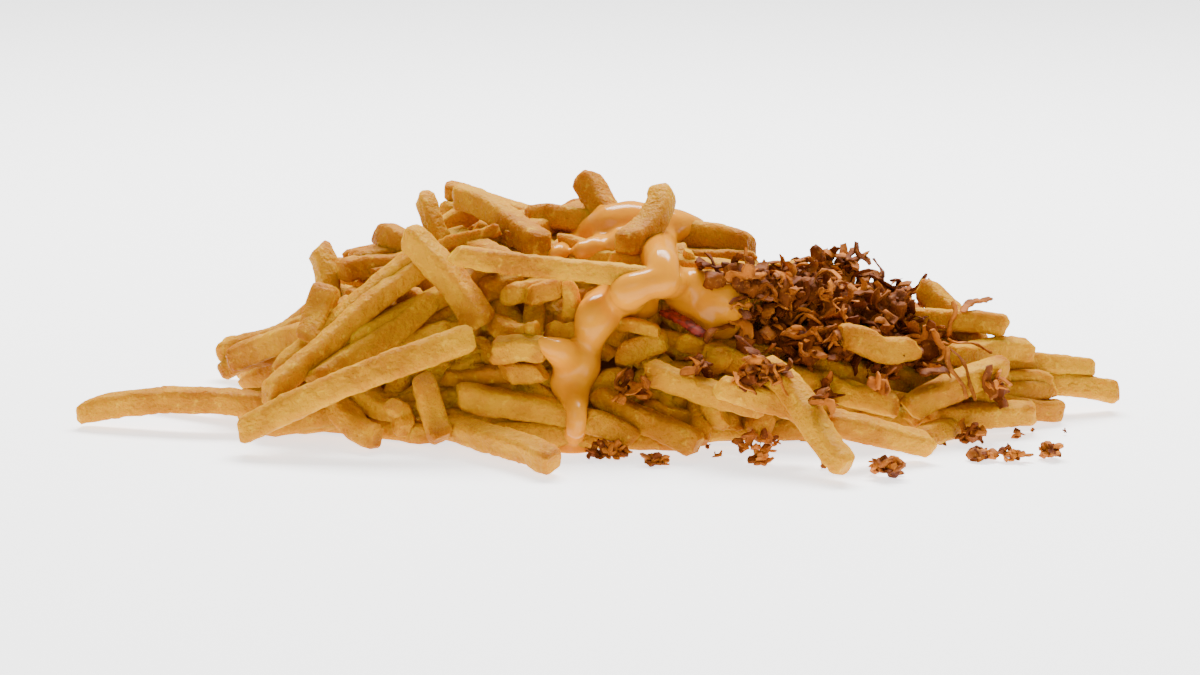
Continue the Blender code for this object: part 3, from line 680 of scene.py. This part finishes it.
# Sauce as it ran, each flow a row of (across, up, radius); flows meet where their ends are equal
SAUCE_FLOWS = [
    [(-13, 45, 1.6), (-8, 47, 2.6), (-3, 50, 3.8), (3, 52.5, 5.0), (9, 53.5, 5.2), (15, 52, 5.0)],
    [(0.8, 57, 1.8), (1.5, 52.5, 4.0), (4, 48, 4.2), (16, 46.5, 4.6)],
    [(-5, 46, 2.2), (2, 47, 3.4), (9, 47, 4.4), (16, 46.5, 4.6)],
    [(15, 52, 5.0), (21, 53, 3.8), (27.5, 53.4, 1.6)],
    [(15, 52, 5.0), (16, 46.5, 4.6)],
    [(16, 46.5, 4.6), (17.5, 42, 3.6), (18, 37.5, 3.4)],
    [(18, 37.5, 3.4), (14, 37, 3.0), (8, 34.5, 4.0)],
    [(8, 34.5, 4.0), (3, 31, 4.8), (-1, 27.5, 4.8), (-2.8, 22.5, 3.4), (-3.2, 17, 2.8), (-6, 14, 4.8)],
    [(8, 34.5, 4.0), (9, 31, 3.4), (13, 30.5, 2.8)],
    [(18, 37.5, 3.4), (25, 35, 4.4), (30, 32, 5.4)],
    [(30, 32, 5.4), (33, 27, 5.4), (33, 23.5, 3.0)],
    [(30, 32, 5.4), (36, 31, 4.8)],
    [(30, 32, 5.4), (26, 30, 4.0), (22, 32.5, 3.0)],
    [(-16, 20, 1.6), (-11, 17.5, 3.2), (-6, 14, 4.8)],
    [(-6, 14, 4.8), (-8.2, 9, 4.6), (-7.4, 5.6, 3.4), (-6.4, 1.5, 2.3), (-6.6, -3, 2.2), (-7, -5.5, 2.6)],
]
PUDDLE_CENTRE = (-7.4, -39.0)
PUDDLE_RIM = (5.0, 5.4)
PUDDLE_BALLS = 24
PUDDLE_EDGE_RADIUS = 1.9
PUDDLE_MIDDLE_RADIUS = 2.6
FILM_BREADTH = 1.35
FILM_SINK = 0.52
SAUCE_VOXEL = 0.75
SAUCE_SMOOTHING = 14


def run_flow(pile, flow, step=1.2):
    """The balls of one flow of sauce, each lying on what is under it."""
    rows = np.array(flow, float)
    lengths = np.concatenate([[0], np.cumsum(np.hypot(*np.diff(rows[:, :2], axis=0).T))])
    at = np.linspace(0, lengths[-1], max(2, int(lengths[-1] / 1.6)))
    across, up, radii = (np.interp(at, lengths, rows[:, k]) for k in range(3))
    radii = radii * FILM_BREADTH
    near = rest(pile, FRONT, across, up, radii, FILM_SINK)
    spread = np.array([near[max(0, k - 2) : k + 3].mean() for k in range(len(near))])
    near[1:-1] = np.maximum(near[1:-1] - 0.35 * radii[1:-1], spread[1:-1])
    line = placed(FRONT, across, up, near)
    gaps = np.concatenate([[0], np.cumsum(np.linalg.norm(np.diff(line, axis=0), axis=1))])
    even = np.linspace(0, gaps[-1], max(2, int(gaps[-1] / step)))
    spots = np.stack([np.interp(even, gaps, line[:, k]) for k in range(3)], axis=1)
    return spots, np.interp(even, gaps, radii)


def make_blob(name, centres, radii, voxel, smoothing):
    """One smooth body round all the balls."""
    mesh = bmesh.new()
    for centre, radius in zip(centres, radii):
        place = Matrix.Translation(Vector(centre) * METRE)
        bmesh.ops.create_icosphere(mesh, subdivisions=2, radius=radius * METRE, matrix=place)
    blob = object_of(name, mesh)
    remesh = blob.modifiers.new("fuse", "REMESH")
    remesh.mode = "VOXEL"
    remesh.voxel_size = voxel * METRE
    smooth = blob.modifiers.new("smooth", "SMOOTH")
    smooth.factor = 0.5
    smooth.iterations = smoothing
    baked(blob)
    blob.data.shade_smooth()
    return blob


def cheese():
    """Warm cheese sauce: smooth, glossy orange yellow."""
    material, wire, shader = new_material("cheese")
    where = wire.node("ShaderNodeTexCoord", out="Object")
    drift = wire.noise(60.0, 2.0, 0.5, where)
    base = wire.mix(drift.step(0.4, 0.65), colour(226, 147, 0), colour(216, 136, 0))
    wire.plug(shader.inputs["Base Color"], base)
    shader.inputs["Roughness"].default_value = 0.16
    shader.inputs["Coat Weight"].default_value = 0.06
    shader.inputs["Coat Roughness"].default_value = 0.08
    shader.inputs["Specular IOR Level"].default_value = 0.2
    shader.inputs["Subsurface Weight"].default_value = 0.15
    shader.inputs["Subsurface Radius"].default_value = (1.0, 0.6, 0.05)
    shader.inputs["Subsurface Scale"].default_value = 0.004
    return material


# Sauce that joins the two lobes into one sheet.
LOBE_SHEET = [
    [(8, 34.5, 4.0), (13, 36.5, 3.0), (20, 37.0, 3.4), (26, 35.5, 4.4)],
    [(-2, 31.5, 2.6), (3, 32.0, 4.0), (9, 32.5, 3.6)],
    [(26, 35.5, 4.4), (30, 29.0, 5.0), (36, 27.5, 4.0)],
]
flows = [run_flow(pile, flow) for flow in SAUCE_FLOWS + LOBE_SHEET]
flow_centres = np.vstack([flow[0] for flow in flows])
flow_radii = np.concatenate([flow[1] for flow in flows])
puddle_spots = [
    (PUDDLE_CENTRE[0] + PUDDLE_RIM[0] * math.cos(a), PUDDLE_CENTRE[1] + PUDDLE_RIM[1] * math.sin(a), 0.2)
    for a in np.linspace(0, math.tau, PUDDLE_BALLS)
]
sauce_object = make_blob(
    "cheese_sauce_visual",
    np.vstack([flow_centres, puddle_spots, [(*PUDDLE_CENTRE, 0.4)]]),
    np.concatenate([flow_radii, np.full(PUDDLE_BALLS, PUDDLE_EDGE_RADIUS), [PUDDLE_MIDDLE_RADIUS]]),
    SAUCE_VOXEL,
    SAUCE_SMOOTHING,
)
for vertex in sauce_object.data.vertices:
    vertex.co.z = max(vertex.co.z, 0.0002)
sauce_object.data.materials.append(cheese())
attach(sauce_object, "root")
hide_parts("cheese_sauce")
pile.add(flow_centres, flow_radii)


# Fried onions
# Crisp brown onion: flat curled shreds of many tones heaped over a craggy blanket, all dry fried
# onion. The larger loose strands and clusters are placed one by one.

# The edge of the onion heap as seen, (across, up)
ONION_EDGE = [
    (29, 41), (38, 40), (46, 41), (52, 40), (58, 43), (64, 46.5), (69, 46), (73, 41), (79, 39.5),
    (85, 33), (92, 28), (96, 22), (95, 16), (89, 12), (80, 14), (68, 17), (60, 15), (50, 10), (42, 8.5),
    (38, 14), (40, 24), (36, 30),
]
ONION_BALLS = 150
BLANKET_SHARE = 0.58
BLANKET_VOXEL = 1.2
BLANKET_TONE = 0.3
CRAG_SIZE = 0.002
CRAG_HEIGHT = 0.005
PICKED_SHREDS = 280
ALL_SHREDS = 430


def inside(edge, across, up):
    """Whether a seen point lies inside that outline."""
    crossed = False
    for (x0, up0), (x1, up1) in zip(edge, edge[1:] + edge[:1]):
        if (up0 > up) != (up1 > up) and across < x0 + (up - up0) * (x1 - x0) / (up1 - up0):
            crossed = not crossed
    return crossed


def right_of_sauce(across, up):
    """The upper left of the heap stays clear, because the sauce's right lobe shows there."""
    return across > 38 or up < 28


def onion_balls(pile, draw):
    """Balls at random over the right flank, where they show inside the onions' outline."""
    centres, radii = [], []
    while len(centres) < ONION_BALLS:
        across, depth = draw.uniform(26, 100), draw.uniform(-42, 26)
        radius = draw.uniform(3.6, 5.2)
        spot = np.array([across]), np.array([depth])
        near = rest(pile, ABOVE, *spot, np.array([radius]), 0.75)
        centre = placed(ABOVE, *spot, near)[0]
        shown = seen(FRONT, centre[None])[0]
        if inside(ONION_EDGE, shown[0], shown[1]):
            centres.append(centre)
            radii.append(radius)
    return np.array(centres), np.array(radii)


def curl(centre, size, bend, wiggle, draw, samples=16):
    """A curled centre line about a point: a bent arc that wanders, in a random plane."""
    plane = np.linalg.qr(np.array([[draw.gauss(0, 1) for _ in range(3)] for _ in range(3)]))[0]
    phases = [draw.uniform(0, math.tau) for _ in range(3)]
    points = []
    for k in range(samples):
        share = k / (samples - 1) - 0.5
        angle = share * bend
        if abs(bend) > 0.05:
            arc = np.array([math.sin(angle) / bend, (1 - math.cos(angle)) / bend, 0.0]) * size
        else:
            arc = np.array([share, 0.0, 0.0]) * size
        arc[2] = wiggle * math.sin(phases[0] + share * 7)
        arc[1] += wiggle * math.sin(phases[1] + share * 9)
        points.append(centre + plane @ arc)
    return np.array(points)


def fried_onion():
    """Crisp onion: dark brown to tan by each piece's tone, with burnt spots and paler flecks, dry with a
    slight oily shine.
    """
    material, wire, shader = new_material("fried_onion")
    tone = wire.node("ShaderNodeAttribute", out="Fac", attribute_name="tone")
    where = wire.node("ShaderNodeTexCoord", out="Object")
    broad = wire.noise(160.0, 3.0, 0.6, where)
    fine = wire.noise(900.0, 4.0, 0.65, where)
    base = wire.mix(tone.step(0.1, 0.9), colour(108, 50, 6), colour(200, 116, 34))
    base = wire.mix(broad.step(0.42, 0.62) * 0.6, base, colour(74, 26, 2))
    base = wire.mix(fine.step(0.55, 0.75) * 0.5, base, colour(216, 146, 62))
    wire.plug(shader.inputs["Base Color"], base)
    wire.plug(shader.inputs["Roughness"], 0.38 + 0.4 * fine)
    shader.inputs["Specular IOR Level"].default_value = 0.1
    bump(wire, shader, fine, 0.6, 0.0005)
    return material


onion_skin = fried_onion()
onion_centres, onion_radii = onion_balls(pile, random.Random(13))
blanket = make_blob(
    "onion_blanket", onion_centres, onion_radii * BLANKET_SHARE, BLANKET_VOXEL, smoothing=1
)
blanket.data.materials.append(onion_skin)
tone = blanket.data.attributes.new("tone", "FLOAT", "POINT")
tone.data.foreach_set("value", np.full(len(blanket.data.vertices), BLANKET_TONE, np.float32))
crag = bpy.data.textures.new("crag", "CLOUDS")
crag.noise_scale = CRAG_SIZE
rough = blanket.modifiers.new("crag", "DISPLACE")
rough.texture = crag
rough.strength = CRAG_HEIGHT
baked(blanket)
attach(blanket, "root")
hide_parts("fried_onions")

# Length, thickness and bend of a broad ribbon, a thin strand and a small bit.
SHRED_KINDS = [(12.0, 4.6, 1.4), (13.0, 1.8, 2.4), (5.6, 3.4, 2.2), (8.0, 3.0, 3.4)]
LOOSE_SHREDS = [
    Strip(99, 31, 97, 22, 2.4, 0.8),
    Strip(101, 29, 110, 33, 3.4, 0.8),
    Strip(97, 21, 109.5, 18, 2.6, 0.5),
    Strip(98, 19, 105, 4, 1.6, 1.2),
    Strip(96.6, 19, 103.4, 4.6, 1.4, -0.8),
    Strip(29, 21, 38, 24, 3.0, 2.0),
    Strip(64, 31, 72, 35, 4.0, 0.8),
    Strip(75, 42, 72, 48, 3.4, 1.0),
]
# Across, up, half widths and how many bits, of each loose cluster.
LOOSE_FLAKES = [
    (110.5, 7.5, 3.5, 3.5, 7),
    (91, 13, 5, 3, 6),
    (80, 10, 5, 3, 7),
    (62.5, 7, 4.5, 6, 8),
    (28, 14.5, 4, 2.5, 5),
    (8.8, 8, 7, 4, 9),
    (30.5, 42.5, 2.5, 1.5, 3),
    (44, 12, 8, 5, 12),
    (66, 42, 7, 6, 12),
]
draw = random.Random(31)
spots = []
for k in range(PICKED_SHREDS):
    pick = draw.randrange(len(onion_centres))
    jitter = np.array([draw.gauss(0, 1), draw.gauss(0, 1), draw.gauss(0, 1)])
    jitter *= (0.85 * onion_radii[pick] + draw.uniform(-0.6, 1.4)) / np.linalg.norm(jitter)
    if jitter[2] < -0.5 and jitter[1] > -1:
        jitter = -jitter
    shown = seen(FRONT, (onion_centres[pick] + jitter)[None])[0]
    if right_of_sauce(shown[0], shown[1]):
        spots.append(onion_centres[pick] + jitter)
while len(spots) < ALL_SHREDS:
    across, up = draw.uniform(27, 98), draw.uniform(8, 47)
    if inside(ONION_EDGE, across, up) and right_of_sauce(across, up):
        where = np.array([across]), np.array([up])
        near = rest(pile, FRONT, *where, np.array([1.6]), 0.9)
        spots.append(placed(FRONT, *where, near)[0])
shreds = []
for spot in spots:
    length, thick, bend = draw.choice(SHRED_KINDS)
    line = curl(spot, length * draw.uniform(0.7, 1.2), bend * draw.uniform(0.4, 1.3), 0.7, draw)
    shreds.append(strand_of(line, thick * draw.uniform(0.75, 1.3), draw, lean=0.9))
for strip in LOOSE_SHREDS:
    line = lay(pile, FRONT, strip, sink=0.95)
    shreds.append(strand_of(line + curl(np.zeros(3), 1.0, 0.1, 0.5, draw, 14), strip.thick, draw))
for across, up, half_across, half_up, count in LOOSE_FLAKES:
    for k in range(count):
        where = (
            np.array([across + draw.uniform(-1, 1) * half_across * 0.6]),
            np.array([up + draw.uniform(-1, 1) * half_up * 0.6]),
        )
        near = rest(pile, FRONT, *where, np.array([2.2]), 0.95)
        spot = placed(FRONT, *where, near)[0]
        line = curl(spot, draw.uniform(5, 10), draw.uniform(0.4, 3), 0.6, draw)
        shreds.append(strand_of(line, draw.uniform(2.4, 5.0), draw, lean=0.9))
shred_cut = {
    "Flatness": 0.22,
    "Corner": 0.1,
    "Relief": 0.0012,
    "Relief scale": 420.0,
    "End softness": 0.7,
    "Sides": 8,
    "Ring spacing": 0.0014,
}
shred_object = build_strands("onion_shreds", shreds, onion_skin, shred_cut)
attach(shred_object, "root")
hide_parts("fried_onions")

# Fries on top
# One fry stands before the sauce and one lies over the onions, made like the others.
pile.add(onion_centres, onion_radii * 0.8)
top_strands = []
for strip in (FRY_OVER_SAUCE, FRY_OVER_ONIONS):
    line = lay(pile, FRONT, strip._replace(near=None), sink=0.75, steepest=0.9)
    top_strands.append(strand_of(bent(line, draw), strip.thick * 0.98, draw))
top_object = build_strands("top_fries", top_strands, potato_skin, front_cut)
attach(top_object, "root")
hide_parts("fries")

# Strip of red onion
# One deep red fried strip lying across the sauce's right lobe, a flat strand.
red_skin, red_wire, red_shader = new_material("red_onion")
red_where = red_wire.node("ShaderNodeTexCoord", out="Object")
red_fine = red_wire.noise(700.0, 3.0, 0.6, red_where)
red_base = red_wire.mix(red_fine.step(0.4, 0.65), colour(150, 40, 14), colour(92, 18, 6))
red_wire.plug(red_shader.inputs["Base Color"], red_base)
red_shader.inputs["Roughness"].default_value = 0.55
red_line = lay(pile, FRONT, Strip(17.6, 29.0, 28.8, 22.3, 4.0, 0.6), sink=0.9)
red_cut = {
    "Flatness": 0.5,
    "Corner": 0.3,
    "Relief": 0.0007,
    "Relief scale": 420.0,
    "End softness": 1.0,
    "Sides": 20,
    "Ring spacing": 0.0006,
}
red_object = build_strands("red_strip", [strand_of(red_line, 4.4, draw)], red_skin, red_cut)
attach(red_object, "root")
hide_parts("red_onion_strip")

# Loose onion on the table
# Each crumb is a knot of short curled shreds of fried onion, and tiny flecks lie between them.
# All are strands of the strand tree that lie on the table.

# Loose onion on the table, (across, up, half width, half depth, half height)
CRUMBS = [
    (3.0, -9.6, 8.6, 3.6, 2.6),
    (15.2, -12.6, 3.6, 2.6, 1.7),
    (43.4, -7.2, 6.0, 4.6, 3.6),
    (45.0, -12.2, 3.4, 2.6, 1.8),
    (80.6, -14.6, 6.8, 4.4, 3.0),
    (103.6, -5.0, 4.5, 4.2, 3.4),
    (107.8, -11.2, 5.0, 2.4, 1.5),
    (115.6, -10.6, 3.6, 2.8, 2.4),
    (127.0, -10.4, 6.0, 3.2, 2.0),
]

# Across, up and size of each small fleck.
FLECKS = [
    (15, -12.5, 4.0), (33, -11.2, 3.0), (30, -8.7, 2.0), (57, -6.5, 3.0), (63, -14.2, 2.4),
    (95.7, -7.7, 3.4), (108, -11.0, 5.0), (117, -5.7, 4.0), (121, -4.0, 1.6), (130.2, -4.6, 1.6),
    (-3, -9.5, 3.0), (84, -16.0, 3.0), (49, -8.0, 2.6),
]


def table_spot(across, up, height):
    near = floor_near(FRONT, up, height)
    return placed(FRONT, np.array([across]), np.array([up]), np.array([near]))[0]


crumb_strands = []
for across, up, half_width, half_depth, half_height in CRUMBS:
    centre = table_spot(across, up, half_height)
    for k in range(int(5 + half_width * 1.6)):
        halves = half_width, half_depth, half_height
        spread = np.array([draw.uniform(-1, 1) * size for size in halves])
        spot = centre + spread * 0.62
        line = curl(spot, draw.uniform(3, 7), draw.uniform(0.5, 4.5), 0.4, draw, 10)
        line[:, 2] = np.clip(line[:, 2], 0.9, 2 * half_height)
        crumb_strands.append(strand_of(line, draw.uniform(1.5, 3.2), draw, lean=0.9))
for across, up, size in FLECKS:
    for k in range(3):
        line = curl(table_spot(across, up, 1.0), size, draw.uniform(0.5, 4), 0.3, draw, 10)
        line[:, 2] = np.clip(line[:, 2], 0.6, 2.4)
        crumb_strands.append(strand_of(line, size * 0.5, draw, lean=0.9))
crumb_cut = {
    "Flatness": 0.5,
    "Corner": 0.2,
    "Relief": 0.0007,
    "Relief scale": 420.0,
    "End softness": 0.8,
    "Sides": 8,
    "Ring spacing": 0.001,
}
crumb_object = build_strands("onion_crumbs", crumb_strands, onion_skin, crumb_cut)
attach(crumb_object, "root")
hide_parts(*[f"onion_crumb_{k + 1}" for k in range(len(CRUMBS))])


# Table, light and camera
# A plain white table that runs out of the picture, a wide soft light above and behind, a weaker
# one in front, and the camera at the eye that the layout was made for.
WORLD_STRENGTH = 0.45
TABLE_GLOW = 1.8
HEAP_MIDDLE = (0, 0, 0.03)
PICTURE_WIDTH = 336.0
SENSOR_WIDTH = 36.0


def make_table():
    mesh = bmesh.new()
    bmesh.ops.create_grid(mesh, x_segments=1, y_segments=1, size=3.0)
    return object_of("table", mesh)


table_object = make_table()
table_skin, table_wire, table_shader = new_material("white_table")
table_shader.inputs["Base Color"].default_value = (0.93, 0.93, 0.93, 1)
table_shader.inputs["Roughness"].default_value = 0.6
table_shader.inputs["Emission Color"].default_value = (1, 1, 1, 1)
table_shader.inputs["Emission Strength"].default_value = TABLE_GLOW
table_object.data.materials.append(table_skin)


def soft_light(name, place, size, power):
    light = bpy.data.lights.new(name, "AREA")
    light.shape = "RECTANGLE"
    light.size, light.size_y = size
    light.energy = power
    lamp = bpy.data.objects.new(name, light)
    lamp.location = place
    lamp.rotation_euler = (Vector(HEAP_MIDDLE) - lamp.location).to_track_quat("-Z", "Y").to_euler()
    bpy.context.scene.collection.objects.link(lamp)
    return lamp


soft_light("key", place=(0.1, 0.45, 0.92), size=(0.9, 0.4), power=34.0)
soft_light("fill", place=(-0.5, -1.1, 0.7), size=(0.8, 0.6), power=3.0)
world = bpy.data.worlds.new("studio")
bpy.context.scene.world = world
world.use_nodes = True
world.node_tree.nodes["Background"].inputs["Color"].default_value = (1, 1, 1, 1)
world.node_tree.nodes["Background"].inputs["Strength"].default_value = WORLD_STRENGTH

camera = bpy.data.cameras.new("camera")
camera.sensor_width = SENSOR_WIDTH
camera.lens = SENSOR_WIDTH * EYE_DISTANCE / PICTURE_WIDTH
camera.clip_start = 0.01
eye = bpy.data.objects.new("camera", camera)
bpy.context.scene.collection.objects.link(eye)
eye.location = Vector(FRONT.aim + FRONT.towards * EYE_DISTANCE) * METRE
eye.rotation_euler = Vector(-FRONT.towards).to_track_quat("-Z", "Y").to_euler()
bpy.context.scene.camera = eye
